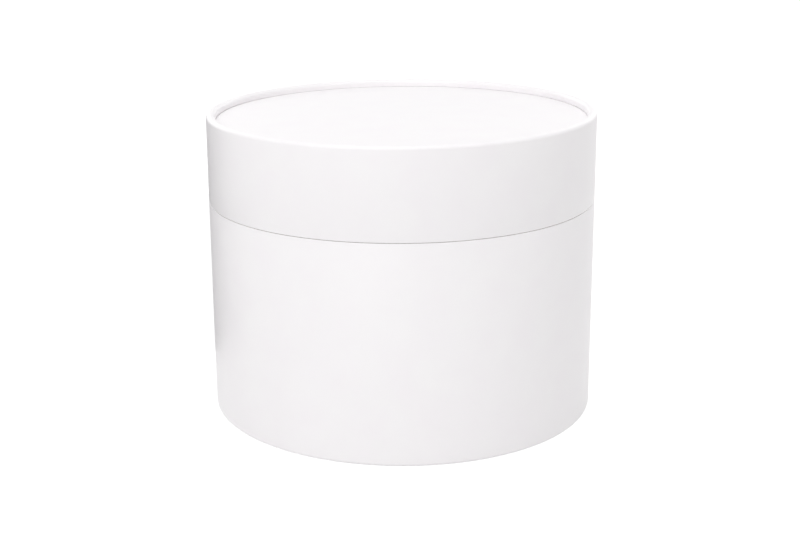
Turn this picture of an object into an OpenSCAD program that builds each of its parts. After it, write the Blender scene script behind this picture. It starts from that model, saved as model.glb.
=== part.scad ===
// Round gift box made of paper tube: a body with a curled foot, a neck that stands up out of it,
// and a flush lid with a curled rim. Millimetres, +Z up, the ground at z = 0, the axis at the origin.

/* [Box] */
// Outer diameter of the body and of the lid
box_d = 120; // [80:1:200]
// Height of the body, from the ground to its cut upper edge, the shoulder
base_h = 66.4; // [40:0.1:160]
// Height of the lid, from its cut lower edge to the top of its rim
lid_h = 27; // [22:0.5:60]
// Hairline that stays open between the shoulder and the lid
seam_gap = 0.1; // [0.05:0.05:0.5]

/* [Tube wall] */
// Thickness of the outer paper
wrap_t = 0.15; // [0.1:0.05:0.3]
// Thickness of the wound board
board_t = 0.7; // [0.5:0.05:1.5]
// Thickness of the white inner ply
liner_t = 0.15; // [0.1:0.05:0.3]
// Width over which the outer paper laps over itself at the back
lap_w = 8; // [4:1:16]

/* [Curl] */
// Inside radius of the bends where a tube's end is rolled in
curl_bend = 0.15; // [0.05:0.05:1]
// Width of the flat between the two bends, which the box stands on
curl_flat = 0.5; // [0.2:0.1:2]
// Length of the straight leg inside the curl, down to the disc
curl_leg = 1.15; // [0.4:0.05:4]

/* [Neck] */
// Height by which the neck stands above the shoulder
neck_h = 12; // [6:0.5:16]
// Thickness of the neck's board
neck_board_t = 0.8; // [0.5:0.05:1.5]
// Thickness of the white plies on both sides of the neck
neck_ply_t = 0.15; // [0.1:0.05:0.3]
// Slip clearance round the neck, in the lid and in the body
neck_clear = 0.25; // [0.1:0.05:0.5]

/* [End discs] */
// Thickness of the board in both discs
disc_board_t = 1.5; // [1:0.1:3]
// Thickness of the paper on each side of a disc
disc_paper_t = 0.15; // [0.1:0.05:0.3]
// Clearance between a disc's edge and the tube round it
disc_clear = 0.05; // [0.02:0.01:0.3]

/* [Lid ring] */
// Thickness of the ring that holds the lid's disc up
ring_t = 0.9; // [0.5:0.1:1.5]
// Clearance between the ring and the tube round it
ring_clear = 0.05; // [0.02:0.01:0.2]
// Headroom between the top of the neck and the ring
ring_head = 2; // [0.5:0.5:4]

/* [Hidden] */
$fn = 180;

// Colours
paper_white = "#f7f6f7";
liner_white = "#f1f0ee";
board_grey = "#b8b0a4";

// The wall and the curl, measured inwards from the face of the paper
box_r = box_d / 2;
wall_t = wrap_t + board_t + liner_t;
tube_r = box_r - wall_t;
curl_r = curl_bend + wall_t;
curl_h = curl_r + curl_leg;
lap_angle = 360 * lap_w / (PI * box_d);
lap_root = wrap_t / 2;
back = 90;

// Heights from the ground up
disc_t = disc_board_t + 2 * disc_paper_t;
floor_z = curl_h + disc_t;
neck_top = base_h + neck_h;
lid_z = base_h + seam_gap;
box_h = lid_z + lid_h;
ceiling_z = box_h - curl_h - disc_t;

// Radii of what stands inside the tubes
disc_r = tube_r - disc_clear;
neck_r = tube_r - neck_clear;
ring_r = tube_r - ring_clear;
ring_z = neck_top + ring_head;

// Quarter of a round bend in one ply, in the plane of revolution.
// side: 1 for the bend on the outer side of the curl, -1 for the one towards the axis.
// skin: depth of the ply's outer face below the face of the paper. t: thickness of the ply.
module bend(side, skin, t) {
    intersection() {
        difference() {
            circle(r = curl_r - skin);
            circle(r = curl_r - skin - t);
        }
        translate([side > 0 ? 0 : -curl_r, 0]) square(curl_r);
    }
}

// Section of one ply of a tube of height h, whose upper end is rolled inwards: the wall,
// a bend, the flat, a second bend and the leg that comes down inside.
module curled_section(h, skin, t) {
    outer_x = box_r - curl_r;
    inner_x = outer_x - curl_flat;
    bend_z = h - curl_r;
    translate([box_r - skin - t, 0]) square([t, bend_z]);
    translate([outer_x, bend_z]) bend(1, skin, t);
    translate([inner_x, h - skin - t]) square([curl_flat, t]);
    translate([inner_x, bend_z]) bend(-1, skin, t);
    translate([inner_x - curl_r + skin, bend_z - curl_leg]) square([t, curl_leg]);
}

// Ply of the lid's tube, curled at the top
module lid_ply(skin, t) {
    translate([0, 0, lid_z]) rotate_extrude() curled_section(lid_h, skin, t);
}

// Ply of the body's tube, curled at the foot
module base_ply(skin, t) {
    rotate_extrude() translate([0, base_h]) mirror([0, 1]) curled_section(base_h, skin, t);
}

// Second layer of the outer paper where it laps over itself, from the cut edge to the curl,
// in which it is pressed flat
module lap(z, h) {
    translate([0, 0, z]) rotate([0, 0, back - lap_angle / 2]) rotate_extrude(angle = lap_angle)
        translate([box_r - lap_root, 0]) square([lap_root + wrap_t, h]);
}

// Plain ring between two radii
module ring(outer, t, z, h) {
    translate([0, 0, z]) difference() {
        cylinder(r = outer, h = h);
        translate([0, 0, -1]) cylinder(r = outer - t, h = h + 2);
    }
}

// Layer of a disc
module layer(z, t) {
    translate([0, 0, z]) cylinder(r = disc_r, h = t);
}

// Outer paper of the body
module base_wrap() {
    color(paper_white) {
        base_ply(0, wrap_t);
        lap(curl_h, base_h - curl_h);
    }
}

// Wound board of the body
module base_tube() {
    color(board_grey) base_ply(wrap_t, board_t);
}

// White inner ply of the body
module base_liner() {
    color(liner_white) base_ply(wrap_t + board_t, liner_t);
}

// Paper under the base disc
module foot_paper() {
    color(paper_white) layer(curl_h, disc_paper_t);
}

// Board disc that closes the body, seated on the end of the curl
module base_disc() {
    color(board_grey) layer(curl_h + disc_paper_t, disc_board_t);
}

// Paper on the base disc, the floor of the box
module floor_paper() {
    color(liner_white) layer(floor_z - disc_paper_t, disc_paper_t);
}

// Board of the neck, from the floor to above the shoulder
module neck_tube() {
    color(board_grey) ring(neck_r - neck_ply_t, neck_board_t, floor_z, neck_top - floor_z);
}

// White outer ply of the neck, on which the lid slides
module neck_skin() {
    color(liner_white) ring(neck_r, neck_ply_t, floor_z, neck_top - floor_z);
}

// White inner ply of the neck, the inner wall of the box
module neck_liner() {
    color(liner_white) ring(neck_r - neck_ply_t - neck_board_t, neck_ply_t, floor_z, neck_top - floor_z);
}

// Outer paper of the lid
module lid_wrap() {
    color(paper_white) {
        lid_ply(0, wrap_t);
        lap(lid_z, lid_h - curl_h);
    }
}

// Wound board of the lid
module lid_tube() {
    color(board_grey) lid_ply(wrap_t, board_t);
}

// White inner ply of the lid
module lid_liner() {
    color(liner_white) lid_ply(wrap_t + board_t, liner_t);
}

// Paper on the lid's disc, seen inside the rim
module lid_panel() {
    color(paper_white) layer(ceiling_z + disc_t - disc_paper_t, disc_paper_t);
}

// Board disc that closes the lid, held up against the end of the curl
module lid_disc() {
    color(board_grey) layer(ceiling_z + disc_paper_t, disc_board_t);
}

// Paper under the lid's disc
module ceiling_paper() {
    color(liner_white) layer(ceiling_z, disc_paper_t);
}

// Ring glued into the lid below its disc, clear of the neck
module lid_ring() {
    color(liner_white) ring(ring_r, ring_t, ring_z, ceiling_z - ring_z);
}

base_wrap();
base_tube();
base_liner();
foot_paper();
base_disc();
floor_paper();
neck_tube();
neck_skin();
neck_liner();
lid_wrap();
lid_tube();
lid_liner();
lid_panel();
lid_disc();
ceiling_paper();
lid_ring();
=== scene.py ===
import math

import bmesh
import bpy
from mathutils import Matrix, Vector, noise


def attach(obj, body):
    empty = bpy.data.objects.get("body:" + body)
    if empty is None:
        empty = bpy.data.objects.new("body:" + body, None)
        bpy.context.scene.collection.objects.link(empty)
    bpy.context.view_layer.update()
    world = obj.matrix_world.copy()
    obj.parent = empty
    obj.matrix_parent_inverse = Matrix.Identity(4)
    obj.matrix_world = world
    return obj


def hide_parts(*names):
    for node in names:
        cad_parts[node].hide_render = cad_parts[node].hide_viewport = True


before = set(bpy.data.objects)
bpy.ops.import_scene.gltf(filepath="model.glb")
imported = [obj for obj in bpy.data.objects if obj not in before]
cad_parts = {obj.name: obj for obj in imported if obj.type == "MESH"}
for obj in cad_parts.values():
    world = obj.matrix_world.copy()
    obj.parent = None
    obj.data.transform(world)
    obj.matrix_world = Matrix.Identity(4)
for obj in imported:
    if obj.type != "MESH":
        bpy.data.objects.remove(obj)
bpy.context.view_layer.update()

# The body's and the lid's outer paper: smooth white art paper, pasted round the tube with an
# 8 mm lap at the back, and rolled inwards with the tube's end into a curl. The paper that is
# rolled in has to shorten by a twentieth, so it puckers finely down the inside of the curl.

MM = 0.001
TURN = 2 * math.pi
QUARTER = math.pi / 2
BACK = QUARTER
BOX_R = 60 * MM
BASE_H = 66.4 * MM
LID_H = 27 * MM
BOX_H = 93.5 * MM
WRAP_T = 0.15 * MM
BOARD_T = 0.7 * MM
LINER_T = 0.15 * MM
CURL_R = 1.15 * MM
CURL_FLAT = 0.5 * MM
CURL_LEG = 1.15 * MM
BEND_STEPS = 8
LEG_STEPS = 3
LAP_W = 8 * MM
LAP_RAMP = 1.4 * MM
CUT_EDGE = 0.03 * MM
KNIFE_ROUND = 0.14 * MM
PUCKER_DEPTH = 0.05 * MM
PUCKER_PITCH = 1.7 * MM
PUCKER_STRETCH = 0.15
PUCKER_SHARPNESS = 2.4
PUCKER_GROWTH = 1.15
WELD = 0.002 * MM
SMOOTH_UP_TO = 40


def pick(piece, test):
    """Selects the vertices, in edit mode, whose place passes the test."""
    bpy.ops.mesh.select_all(action="DESELECT")
    mesh = bmesh.from_edit_mesh(piece.data)
    for vertex in mesh.verts:
        vertex.select_set(bool(test(vertex.co)))
    mesh.select_flush_mode()
    bmesh.update_edit_mesh(piece.data)


def section(name, inner, outer, low, high):
    """Starts a piece as a rectangle in the XZ plane, and leaves it in edit mode."""
    bpy.ops.object.select_all(action="DESELECT")
    centre = ((inner + outer) / 2, 0, (low + high) / 2)
    bpy.ops.mesh.primitive_plane_add(size=1, location=centre, rotation=(QUARTER, 0, 0))
    piece = bpy.context.object
    piece.name = piece.data.name = name
    bpy.ops.transform.resize(value=(outer - inner, 1, high - low))
    bpy.ops.object.transform_apply(location=True, rotation=True, scale=True)
    bpy.context.tool_settings.mesh_select_mode = (True, False, False)
    bpy.ops.object.mode_set(mode="EDIT")
    return piece


def turn_round(arcs):
    """Makes the section an outline and spins it round the axis, in arcs of (angle, steps)."""
    bpy.ops.mesh.select_all(action="SELECT")
    bpy.ops.mesh.dissolve_faces()
    bpy.ops.mesh.select_all(action="SELECT")
    bpy.ops.mesh.delete(type="ONLY_FACE")
    bpy.ops.mesh.select_all(action="SELECT")
    for angle, steps in arcs:
        bpy.ops.mesh.spin(steps=steps, angle=-angle, center=(0, 0, 0), axis=(0, 0, 1))
    bpy.ops.mesh.select_all(action="SELECT")
    bpy.ops.mesh.remove_doubles(threshold=WELD)
    bpy.ops.mesh.normals_make_consistent(inside=False)
    bpy.ops.object.mode_set(mode="OBJECT")


def complete(piece, body, node, material):
    """Shades the finished piece, gives it its material, hangs it on its body, and hides the CAD
    part that it takes the place of.
    """
    bpy.ops.object.select_all(action="DESELECT")
    piece.select_set(True)
    bpy.context.view_layer.objects.active = piece
    bpy.ops.object.shade_smooth_by_angle(angle=math.radians(SMOOTH_UP_TO))
    piece.data.materials.clear()
    piece.data.materials.append(material)
    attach(piece, body)
    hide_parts(node)


def rolled_section(name, skin, t, height):
    """Section of one ply of a tube that stands on its curl, with its cut edge at the top."""
    outer_x, inner_x = BOX_R - CURL_R, BOX_R - CURL_R - CURL_FLAT
    piece = section(name, BOX_R - skin - t, BOX_R - skin, CURL_R, height)
    pick(piece, lambda p: p.z < CURL_R + CUT_EDGE)
    bpy.ops.mesh.spin(
        steps=BEND_STEPS, angle=-QUARTER, center=(outer_x, 0, CURL_R), axis=(0, 1, 0)
    )
    bpy.ops.mesh.extrude_region_move(TRANSFORM_OT_translate={"value": (-CURL_FLAT, 0, 0)})
    bpy.ops.mesh.spin(
        steps=BEND_STEPS, angle=-QUARTER, center=(inner_x, 0, CURL_R), axis=(0, 1, 0)
    )
    step = CURL_LEG / LEG_STEPS
    for _ in range(LEG_STEPS):
        bpy.ops.mesh.extrude_region_move(TRANSFORM_OT_translate={"value": (0, 0, step)})
    return piece


def round_cut(height):
    """Rounds the outer corner of a section's cut edge, where the knife presses the paper in."""
    pick(bpy.context.object, lambda p: p.z > height - CUT_EDGE and p.x > BOX_R - CUT_EDGE)
    bpy.ops.mesh.bevel(offset=KNIFE_ROUND, segments=3, affect="VERTICES")


def stand_on_top(piece):
    """Turns a ply made on the ground over, to the top of the box."""
    for vertex in piece.data.vertices:
        vertex.co.z = BOX_H - vertex.co.z
    piece.data.flip_normals()


def ease(x):
    """Smooth step from 0 to 1."""
    x = min(max(x, 0), 1)
    return x * x * (3 - 2 * x)


def lap_and_pucker(piece):
    """Lifts the paper where it laps over itself, and puckers it down the inside of the curl."""
    flat_middle = BOX_R - CURL_R - CURL_FLAT / 2
    leg_face = BOX_R - 2 * CURL_R - CURL_FLAT + WRAP_T / 2
    for vertex in piece.data.vertices:
        p = vertex.co
        radius, angle = math.hypot(p.x, p.y), math.atan2(p.y, p.x)
        along = (angle - BACK) * BOX_R + LAP_W / 2
        lift = 0
        on_wall = radius > BOX_R - WRAP_T and p.z > CURL_R - CUT_EDGE
        if on_wall and 0 <= along < LAP_W + CUT_EDGE / 2:
            skin = (radius - BOX_R + WRAP_T) * ease((p.z - CURL_R) / CURL_LEG)
            lift = skin * ease(along / LAP_RAMP)
        depth = (flat_middle - radius) / (CURL_R + CURL_FLAT / 2)
        if depth > 0 and (p.z < CURL_R - WRAP_T or radius < leg_face):
            place = Vector((p.x, p.y, p.z * PUCKER_STRETCH)) / PUCKER_PITCH
            ridge = 1 - abs(noise.noise(place)) * PUCKER_SHARPNESS
            lift += PUCKER_DEPTH * ease(depth * PUCKER_GROWTH) * max(ridge, 0)
        vertex.co.x, vertex.co.y = p.x * (1 + lift / radius), p.y * (1 + lift / radius)


# Arcs of the outer paper, starting at +X: up to the lap, its ramp, its flat, its cut edge, and
# the rest of the way round.
LAP_ARCS = [
    (BACK - LAP_W / 2 / BOX_R, 95),
    (LAP_RAMP / BOX_R, 5),
    ((LAP_W - LAP_RAMP) / BOX_R, 8),
    (CUT_EDGE / BOX_R, 1),
    (TURN - BACK - LAP_W / 2 / BOX_R - CUT_EDGE / BOX_R, 285),
]


def linear(code):
    """Linear colour of an sRGB hex code."""
    values = [int(code[i:i + 2], 16) / 255 for i in (1, 3, 5)]
    return [v / 12.92 if v <= 0.04045 else ((v + 0.055) / 1.055) ** 2.4 for v in values] + [1]


def add(tree, kind, links=(), **settings):
    """Adds a node: settings are its properties or inputs, links are (input, output socket)."""
    node = tree.nodes.new(kind)
    for name, value in settings.items():
        if hasattr(node, name):
            setattr(node, name, value)
        else:
            node.inputs[name.replace("_", " ")].default_value = value
    for name, socket in links:
        tree.links.new(node.inputs[name], socket)
    return node


def paper(name, light, dark, roughness, patch, tooth, tooth_depth, wave, wave_depth):
    """Paper: faint patches of tone, a fine tooth, and the board's unevenness under it."""
    material = bpy.data.materials.new(name)
    material.use_nodes = True
    tree = material.node_tree
    shader = tree.nodes["Principled BSDF"]
    shader.inputs["Roughness"].default_value = roughness
    shader.inputs["IOR"].default_value = 1.5
    place = add(tree, "ShaderNodeTexCoord").outputs["Object"]
    cloud = add(tree, "ShaderNodeTexNoise", [("Vector", place)], Scale=1 / patch, Detail=4.0)
    tone = add(tree, "ShaderNodeValToRGB", [("Fac", cloud.outputs["Fac"])])
    low, high = tone.color_ramp.elements
    low.position, low.color = 0.3, linear(dark)
    high.position, high.color = 0.7, linear(light)
    tree.links.new(shader.inputs["Base Color"], tone.outputs["Color"])
    swell = add(tree, "ShaderNodeTexNoise", [("Vector", place)], Scale=1 / wave, Detail=1.0)
    links = [("Height", swell.outputs["Fac"])]
    under = add(tree, "ShaderNodeBump", links, Strength=1.0, Distance=wave_depth)
    grain = add(tree, "ShaderNodeTexNoise", [("Vector", place)], Scale=1 / tooth, Detail=3.0)
    links = [("Height", grain.outputs["Fac"]), ("Normal", under.outputs["Normal"])]
    over = add(tree, "ShaderNodeBump", links, Strength=1.0, Distance=tooth_depth)
    tree.links.new(shader.inputs["Normal"], over.outputs["Normal"])
    return material


# Coated art paper, calendered: matt with a faint sheen that shows at a glancing angle. Its
# tooth of some 0.1 mm is drawn three times as coarse, so that it shows.
art_paper = paper(
    "coated_art_paper", "#f8f6f7", "#f7f4f6", roughness=0.42, patch=9 * MM,
    tooth=0.35 * MM, tooth_depth=0.003 * MM, wave=14 * MM, wave_depth=0.02 * MM,
)

base_wrap = rolled_section("body_outer_paper", 0, WRAP_T, BASE_H)
round_cut(BASE_H)
turn_round(LAP_ARCS)
lap_and_pucker(base_wrap)
complete(base_wrap, "base", "base_wrap", art_paper)

lid_wrap = rolled_section("lid_outer_paper", 0, WRAP_T, LID_H)
round_cut(LID_H)
turn_round(LAP_ARCS)
lap_and_pucker(lid_wrap)
stand_on_top(lid_wrap)
complete(lid_wrap, "lid", "lid_wrap", art_paper)

# The wound board of both tubes: two plies of grey board glued to each other, cut square with a
# rotating knife. The cut shows the joint between the plies as a fine groove and a rough face.

GROOVE = 0.06 * MM
ROUGH_CUT = 0.012 * MM
FIBRE_CLUMP = 0.9 * MM
ROUND_STEPS = 240


def cut_face(piece, top):
    """Divides the cut edge of a section in four, and sinks its middle, where two plies meet."""
    pick(piece, lambda p: p.z > top - CUT_EDGE)
    bpy.ops.mesh.subdivide(number_cuts=3)
    xs = [v.co.x for v in bmesh.from_edit_mesh(piece.data).verts if v.co.z > top - CUT_EDGE]
    middle = (min(xs) + max(xs)) / 2
    pick(piece, lambda p: p.z > top - CUT_EDGE and abs(p.x - middle) < CUT_EDGE)
    bpy.ops.transform.translate(value=(0, 0, -GROOVE))


def fray(piece, top):
    """Roughens the cut face at that height, downwards only."""
    for vertex in piece.data.vertices:
        if vertex.co.z > top - CUT_EDGE:
            vertex.co.z -= ROUGH_CUT * (1 + noise.noise(vertex.co / FIBRE_CLUMP))


def board(name, light, dark, across):
    """Grey board of waste paper: short fibres, specks, and layers across its thickness."""
    material = bpy.data.materials.new(name)
    material.use_nodes = True
    tree = material.node_tree
    shader = tree.nodes["Principled BSDF"]
    shader.inputs["Roughness"].default_value = 0.92
    shader.inputs["IOR"].default_value = 1.45
    place = add(tree, "ShaderNodeTexCoord").outputs["Object"]
    stretched = add(tree, "ShaderNodeMapping", [("Vector", place)], Scale=across)
    links = [("Vector", stretched.outputs["Vector"])]
    fibre = add(tree, "ShaderNodeTexNoise", links, Scale=1 / (0.6 * MM), Detail=5.0)
    tone = add(tree, "ShaderNodeValToRGB", [("Fac", fibre.outputs["Fac"])])
    low, high = tone.color_ramp.elements
    low.position, low.color = 0.3, linear(dark)
    high.position, high.color = 0.72, linear(light)
    speck = add(tree, "ShaderNodeTexVoronoi", [("Vector", place)], Scale=1 / (2.2 * MM))
    spot = add(
        tree, "ShaderNodeMapRange", [("Value", speck.outputs["Distance"])],
        From_Min=0.05, From_Max=0.12, To_Min=0.75, To_Max=1.0,
    )
    shade = add(
        tree, "ShaderNodeVectorMath",
        [(0, tone.outputs["Color"]), (1, spot.outputs["Result"])], operation="MULTIPLY",
    )
    tree.links.new(shader.inputs["Base Color"], shade.outputs["Vector"])
    links = [("Height", fibre.outputs["Fac"])]
    relief = add(tree, "ShaderNodeBump", links, Strength=1.0, Distance=0.02 * MM)
    tree.links.new(shader.inputs["Normal"], relief.outputs["Normal"])
    return material


# Tube board of recycled paper, knife cut: dull grey-brown, with fibres lying round the tube.
tube_board = board("wound_grey_board", "#c2bbb0", "#a79f93", across=(1, 1, 3))

base_tube = rolled_section("body_tube_board", WRAP_T, BOARD_T, BASE_H)
cut_face(base_tube, BASE_H)
turn_round([(TURN, ROUND_STEPS)])
fray(base_tube, BASE_H)
complete(base_tube, "base", "base_tube", tube_board)

lid_tube = rolled_section("lid_tube_board", WRAP_T, BOARD_T, LID_H)
cut_face(lid_tube, LID_H)
turn_round([(TURN, ROUND_STEPS)])
fray(lid_tube, LID_H)
stand_on_top(lid_tube)
complete(lid_tube, "lid", "lid_tube", tube_board)

# The white inner ply of both tubes: an uncoated white liner, the first ply on the mandrel. It
# is glued to the board and rolled in with it, and ends inside the curl.

# Uncoated tube liner, machine finished: matt, a little warmer than the cover paper, with a
# soft tooth.
tube_liner = paper(
    "uncoated_tube_liner", "#f3f2f0", "#f0efec", roughness=0.8, patch=3 * MM,
    tooth=0.5 * MM, tooth_depth=0.008 * MM, wave=18 * MM, wave_depth=0.015 * MM,
)

base_liner = rolled_section("body_inner_ply", WRAP_T + BOARD_T, LINER_T, BASE_H)
turn_round([(TURN, ROUND_STEPS)])
complete(base_liner, "base", "base_liner", tube_liner)

lid_liner = rolled_section("lid_inner_ply", WRAP_T + BOARD_T, LINER_T, LID_H)
turn_round([(TURN, ROUND_STEPS)])
stand_on_top(lid_liner)
complete(lid_liner, "lid", "lid_liner", tube_liner)

# The paper on the discs: white sheets pasted to both sides of each board disc before die
# cutting. The die turns their edge down a little, and the curl's end presses a faint ring in.

DISC_R = 58.95 * MM
DISC_T = 0.15 * MM
DISC_SIDES = 256
LEG_R = 57.2 * MM
DIE_EDGE = 0.05 * MM
PRESS = 0.12 * MM
SWELL = 0.03 * MM
SWELL_SIZE = 30 * MM
SWELL_SHIFT = 999
DISC_RINGS = (DISC_R - LEG_R - 0.2 * MM, 0.2 * MM, 0.25 * MM, 1.2 * MM) + (4 * MM,) * 13


def paper_disc(name, low, outside_up, body, node, material):
    """A round sheet with a turned-down edge, between low and low + its thickness."""
    bpy.ops.object.select_all(action="DESELECT")
    bpy.ops.mesh.primitive_circle_add(
        vertices=DISC_SIDES, radius=DISC_R, fill_type="NGON", location=(0, 0, low + DISC_T)
    )
    piece = bpy.context.object
    piece.name = piece.data.name = name
    bpy.ops.object.transform_apply(location=True, rotation=True, scale=True)
    bpy.ops.object.mode_set(mode="EDIT")
    bpy.ops.mesh.select_all(action="SELECT")
    for width in DISC_RINGS:
        bpy.ops.mesh.inset(thickness=width)
    bpy.ops.mesh.poke()
    bpy.ops.object.mode_set(mode="OBJECT")
    shift = Vector((0, 0, low * SWELL_SHIFT))
    for vertex in piece.data.vertices:
        radius = math.hypot(vertex.co.x, vertex.co.y)
        sink = DIE_EDGE if radius > DISC_R - 0.1 * MM else 0
        if radius < LEG_R - 0.5 * MM:
            sink += SWELL * (0.5 + 0.5 * noise.noise(vertex.co / SWELL_SIZE + shift))
        elif LEG_R - 0.1 * MM < radius < LEG_R + 0.4 * MM:
            sink += PRESS
        vertex.co.z -= sink
    thick = piece.modifiers.new("sheet", "SOLIDIFY")
    thick.thickness, thick.offset = DISC_T - 2 * DIE_EDGE, -1
    bpy.ops.object.modifier_apply(modifier=thick.name)
    if not outside_up:
        for vertex in piece.data.vertices:
            vertex.co.z = 2 * low + DISC_T - vertex.co.z
        piece.data.flip_normals()
    complete(piece, body, node, material)


# Uncoated white lining paper, machine finished: plain, matt and slightly warm.
lining_paper = paper(
    "white_lining_paper", "#f2f1ef", "#eeece9", roughness=0.8, patch=6 * MM,
    tooth=0.5 * MM, tooth_depth=0.008 * MM, wave=20 * MM, wave_depth=0.03 * MM,
)
paper_disc("foot_disc_paper", 2.3 * MM, False, "base", "foot_paper", lining_paper)
paper_disc("floor_disc_paper", 3.95 * MM, True, "base", "floor_paper", lining_paper)
paper_disc("ceiling_disc_paper", 89.4 * MM, False, "lid", "ceiling_paper", lining_paper)
paper_disc("lid_top_paper", 91.05 * MM, True, "lid", "lid_panel", art_paper)

# The two board discs: solid grey board, die cut, hidden between their papers and the tube.
# The base disc stands on the end of the curl and the lid's disc lies under it.

# Solid board of recycled paper in flat layers: grey-brown, specked, its layers seen on the edge.
disc_board = board("solid_grey_board", "#bdb6ab", "#a39b90", across=(1, 1, 6))
for node in ("base_disc", "lid_disc"):
    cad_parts[node].data.materials.clear()
    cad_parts[node].data.materials.append(disc_board)

# The neck: an inner tube of two board plies with a white ply on each side, wound on a slant and
# glued into the body. It stands 12 mm out of it, and the lid slides over it. The strips of the
# white plies meet edge to edge, which leaves a fine slanting joint inside and outside.

NECK_LOW = 4.1 * MM
NECK_TOP = 78.4 * MM
NECK_R = 58.75 * MM
NECK_BOARD_T = 0.8 * MM
PLY_W = 120 * MM
PLY_TURN = TURN * 59 * MM
PLY_RISE = PLY_W * PLY_TURN / math.sqrt(PLY_TURN ** 2 - PLY_W ** 2)
PLY_START = 1.3
PLY_ROUNDS = 3
PLY_STEPS = 288
JOINT = 0.12 * MM

neck_tube = section(
    "neck_board", NECK_R - LINER_T - NECK_BOARD_T, NECK_R - LINER_T, NECK_LOW, NECK_TOP
)
cut_face(neck_tube, NECK_TOP)
turn_round([(TURN, ROUND_STEPS)])
fray(neck_tube, NECK_TOP)
complete(neck_tube, "base", "neck_tube", tube_board)


def wound_ply(name, radius, start):
    """A white ply wound as one slanting strip on the neck, trimmed at both ends of the neck."""
    strip_low = NECK_LOW - PLY_RISE * PLY_START
    piece = section(name, radius - LINER_T, radius, strip_low, strip_low + PLY_RISE - JOINT)
    pick(piece, lambda p: p.x < radius - LINER_T / 2)
    bpy.ops.mesh.delete(type="VERT")
    bpy.ops.mesh.select_all(action="SELECT")
    bpy.ops.object.mode_set(mode="OBJECT")
    wind = piece.modifiers.new("wind", "SCREW")
    wind.angle, wind.screw_offset = TURN, PLY_RISE
    wind.iterations, wind.steps, wind.render_steps = PLY_ROUNDS, PLY_STEPS, PLY_STEPS
    bpy.ops.object.modifier_apply(modifier=wind.name)
    bpy.ops.object.mode_set(mode="EDIT")
    for height, below in ((NECK_LOW, True), (NECK_TOP, False)):
        bpy.ops.mesh.select_all(action="SELECT")
        bpy.ops.mesh.bisect(
            plane_co=(0, 0, height), plane_no=(0, 0, 1), clear_inner=below, clear_outer=not below
        )
    bpy.ops.mesh.select_all(action="SELECT")
    bpy.ops.mesh.remove_doubles(threshold=WELD)
    bpy.ops.mesh.normals_make_consistent(inside=False)
    bpy.ops.transform.rotate(
        value=-start, orient_axis="Z", center_override=(0, 0, 0), orient_type="GLOBAL"
    )
    bpy.ops.object.mode_set(mode="OBJECT")
    face = piece.data.polygons[0]
    if face.normal.dot(Vector((face.center.x, face.center.y, 0))) < 0:
        piece.data.flip_normals()
    thick = piece.modifiers.new("sheet", "SOLIDIFY")
    thick.thickness, thick.offset = LINER_T, -1
    bpy.ops.object.modifier_apply(modifier=thick.name)
    return piece


neck_skin = wound_ply("neck_outer_ply", NECK_R, start=1.0)
complete(neck_skin, "base", "neck_skin", tube_liner)

neck_liner = wound_ply("neck_inner_ply", NECK_R - LINER_T - NECK_BOARD_T, start=3.4)
complete(neck_liner, "base", "neck_liner", tube_liner)

# The ring that holds the lid's disc up: a strip of white-lined board, cut to length, bent round
# and glued to the inside of the lid, so that its two ends meet in a butt joint.

RING_R = 58.95 * MM
RING_T = 0.9 * MM
RING_LOW = 80.4 * MM
RING_HIGH = 89.4 * MM
BUTT_GAP = 0.35 * MM
RING_EDGE = 0.12 * MM

lid_ring = section("lid_support_ring", RING_R - RING_T, RING_R, RING_LOW, RING_HIGH)
bpy.ops.mesh.select_all(action="SELECT")
bpy.ops.mesh.bevel(offset=RING_EDGE, segments=3, affect="VERTICES")
bpy.ops.mesh.select_all(action="SELECT")
bpy.ops.mesh.spin(
    steps=ROUND_STEPS, angle=TURN - BUTT_GAP / RING_R, center=(0, 0, 0), axis=(0, 0, 1)
)
bpy.ops.mesh.select_all(action="SELECT")
bpy.ops.mesh.normals_make_consistent(inside=False)
bpy.ops.object.mode_set(mode="OBJECT")

# White-lined board, guillotine cut, whose edge is slightly darker and layered: drawn as one
# off-white with faint small patches of tone, edge and face alike.
ring_board = paper(
    "white_lined_board", "#eeede9", "#e4e1db", roughness=0.8, patch=1.2 * MM,
    tooth=0.4 * MM, tooth_depth=0.015 * MM, wave=16 * MM, wave_depth=0.02 * MM,
)
complete(lid_ring, "lid", "lid_ring", ring_board)

# The studio: a white sweep that keeps the box's shadow, a white world that lights the box
# evenly from all round, and six softboxes. The sweep can be seen through from below.

AMBIENT = 0.49


def by_ray(tree, unseen, seen):
    """A value that is one number for what the camera sees, and another for the light."""
    ray = add(tree, "ShaderNodeLightPath").outputs
    links = [(0, ray["Is Camera Ray"]), (1, ray["Is Glossy Ray"])]
    first = add(tree, "ShaderNodeMath", links, operation="MAXIMUM")
    links = [(0, first.outputs[0]), (1, ray["Is Transmission Ray"])]
    both = add(tree, "ShaderNodeMath", links, operation="MAXIMUM")
    links = [("Value", both.outputs[0])]
    level = add(tree, "ShaderNodeMapRange", links, To_Min=unseen, To_Max=seen)
    return level.outputs["Result"]


bpy.ops.object.select_all(action="DESELECT")
bpy.ops.mesh.primitive_plane_add(size=8, location=(0, 0, 0))
ground = bpy.context.object
ground.name = "ground"

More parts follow.
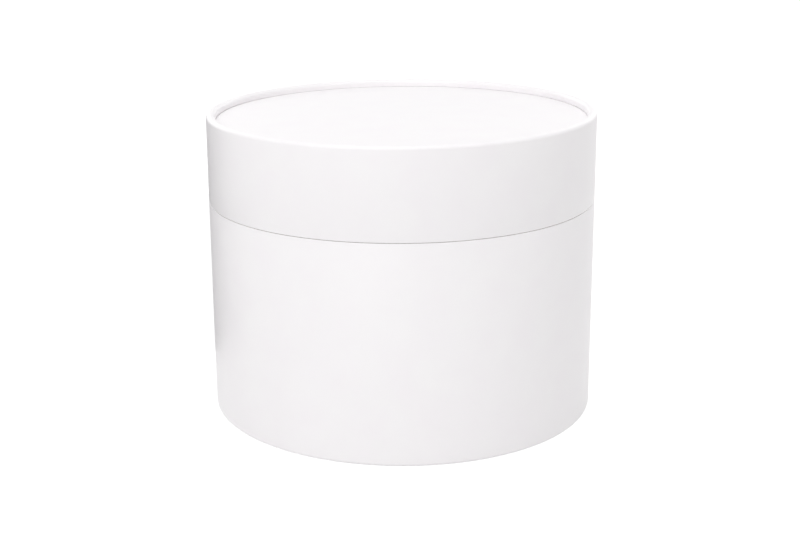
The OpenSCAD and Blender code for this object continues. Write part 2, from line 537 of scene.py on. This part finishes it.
# White paper sweep: matt, with a glow that only the camera sees, so that it ends up white.
sweep = bpy.data.materials.new("white_sweep")
sweep.use_nodes = True
tree = sweep.node_tree
tree.nodes.clear()
matt = add(tree, "ShaderNodeBsdfDiffuse", [("Color", by_ray(tree, unseen=0.8, seen=0.3))])
shine = add(tree, "ShaderNodeEmission", [("Strength", by_ray(tree, unseen=0.0, seen=0.92))])
lit = add(tree, "ShaderNodeAddShader", [(0, matt.outputs[0]), (1, shine.outputs[0])])
below = add(tree, "ShaderNodeNewGeometry").outputs["Backfacing"]
clear = add(tree, "ShaderNodeBsdfTransparent")
links = [("Fac", below), (1, lit.outputs[0]), (2, clear.outputs[0])]
one_sided = add(tree, "ShaderNodeMixShader", links)
add(tree, "ShaderNodeOutputMaterial", [("Surface", one_sided.outputs[0])])
ground.data.materials.append(sweep)

world = bpy.data.worlds.new("studio")
bpy.context.scene.world = world
world.use_nodes = True
tree = world.node_tree
tree.nodes.clear()
links = [("Strength", by_ray(tree, unseen=AMBIENT, seen=1.0))]
sky = add(tree, "ShaderNodeBackground", links, Color=linear("#ffffff"))
add(tree, "ShaderNodeOutputWorld", [("Surface", sky.outputs[0])])


def softbox(name, azimuth, elevation, distance, size, power):
    """A square area lamp that looks at the middle of the box: degrees, metres and watts."""
    turn, rise = math.radians(azimuth), math.radians(elevation)
    level = math.cos(rise)
    way = Vector((math.sin(turn) * level, -math.cos(turn) * level, math.sin(rise)))
    lamp = bpy.data.lights.new(name, "AREA")
    lamp.size, lamp.energy = size, power
    holder = bpy.data.objects.new(name, lamp)
    holder.location = Vector((0, 0, 0.045)) + way * distance
    holder.rotation_mode = "QUATERNION"
    holder.rotation_quaternion = way.to_track_quat("Z", "Y")
    bpy.context.scene.collection.objects.link(holder)


softbox("key", -32, 38, 1.4, 0.9, 4.5)
softbox("overhead", 0, 85, 1.4, 1.2, 6.5)
softbox("front", -15, 8, 1.6, 0.9, 4.1)
softbox("right", 80, 15, 1.6, 0.9, 2.2)
softbox("back_left", -150, 20, 1.6, 0.9, 3.0)
softbox("back_right", 150, 20, 1.6, 0.9, 3.0)

# Two black cards close behind the box at the left, one upright and one on the floor, out of the
# camera's sight. They take light from the box's left edge and so draw it against the white.

# Black matt card.
black = bpy.data.materials.new("black_card")
black.use_nodes = True
shader = black.node_tree.nodes["Principled BSDF"]
shader.inputs["Base Color"].default_value = linear("#0a0a0a")
shader.inputs["Roughness"].default_value = 0.9


def black_card(name, size, place, rotation):
    """A square card that only takes light away, and is neither seen nor casts a shadow."""
    bpy.ops.object.select_all(action="DESELECT")
    bpy.ops.mesh.primitive_plane_add(size=size, location=place, rotation=rotation)
    card = bpy.context.object
    card.name = name
    card.visible_camera = card.visible_transmission = card.visible_shadow = False
    card.data.materials.append(black)
    return card


upright_card = black_card("black_card", 0.4, (-0.172, 0.246, 0.055), (QUARTER, 0, 0.61))
upright_card.scale.y = 0.27
black_card("black_floor_card", 0.24, (-0.122, 0.148, 0.001), (0, 0, 0.35))

# The camera stands in front of the box, 15.7 degrees above the level, with its picture shifted
# as the photograph is cropped.

SENSOR_W = 36
PICTURE_W = 800
FOCAL_PIXELS = 1444.66
CAMERA_BACK = 7.376 * BOX_R
CAMERA_UP = 2.8454 * BOX_R
YAW, PITCH, ROLL = -0.0439, 0.2735, -0.0165

camera = bpy.data.cameras.new("camera")
camera.sensor_width = SENSOR_W
camera.lens = FOCAL_PIXELS * SENSOR_W / PICTURE_W
camera.shift_x, camera.shift_y = 0.075, -0.025
camera.clip_start, camera.clip_end = 0.01, 50
viewer = bpy.data.objects.new("camera", camera)
bpy.context.scene.collection.objects.link(viewer)
level = math.cos(PITCH)
forward = Vector((math.sin(YAW) * level, math.cos(YAW) * level, -math.sin(PITCH)))
right = Vector((math.cos(YAW), -math.sin(YAW), 0))
up = right.cross(forward)
across = right * math.cos(ROLL) + up * math.sin(ROLL)
upwards = up * math.cos(ROLL) - right * math.sin(ROLL)
viewer.matrix_world = Matrix((
    (across.x, upwards.x, -forward.x, 0),
    (across.y, upwards.y, -forward.y, -CAMERA_BACK),
    (across.z, upwards.z, -forward.z, CAMERA_UP),
    (0, 0, 0, 1),
))
bpy.context.scene.camera = viewer
bpy.context.scene.view_settings.view_transform = "Standard"
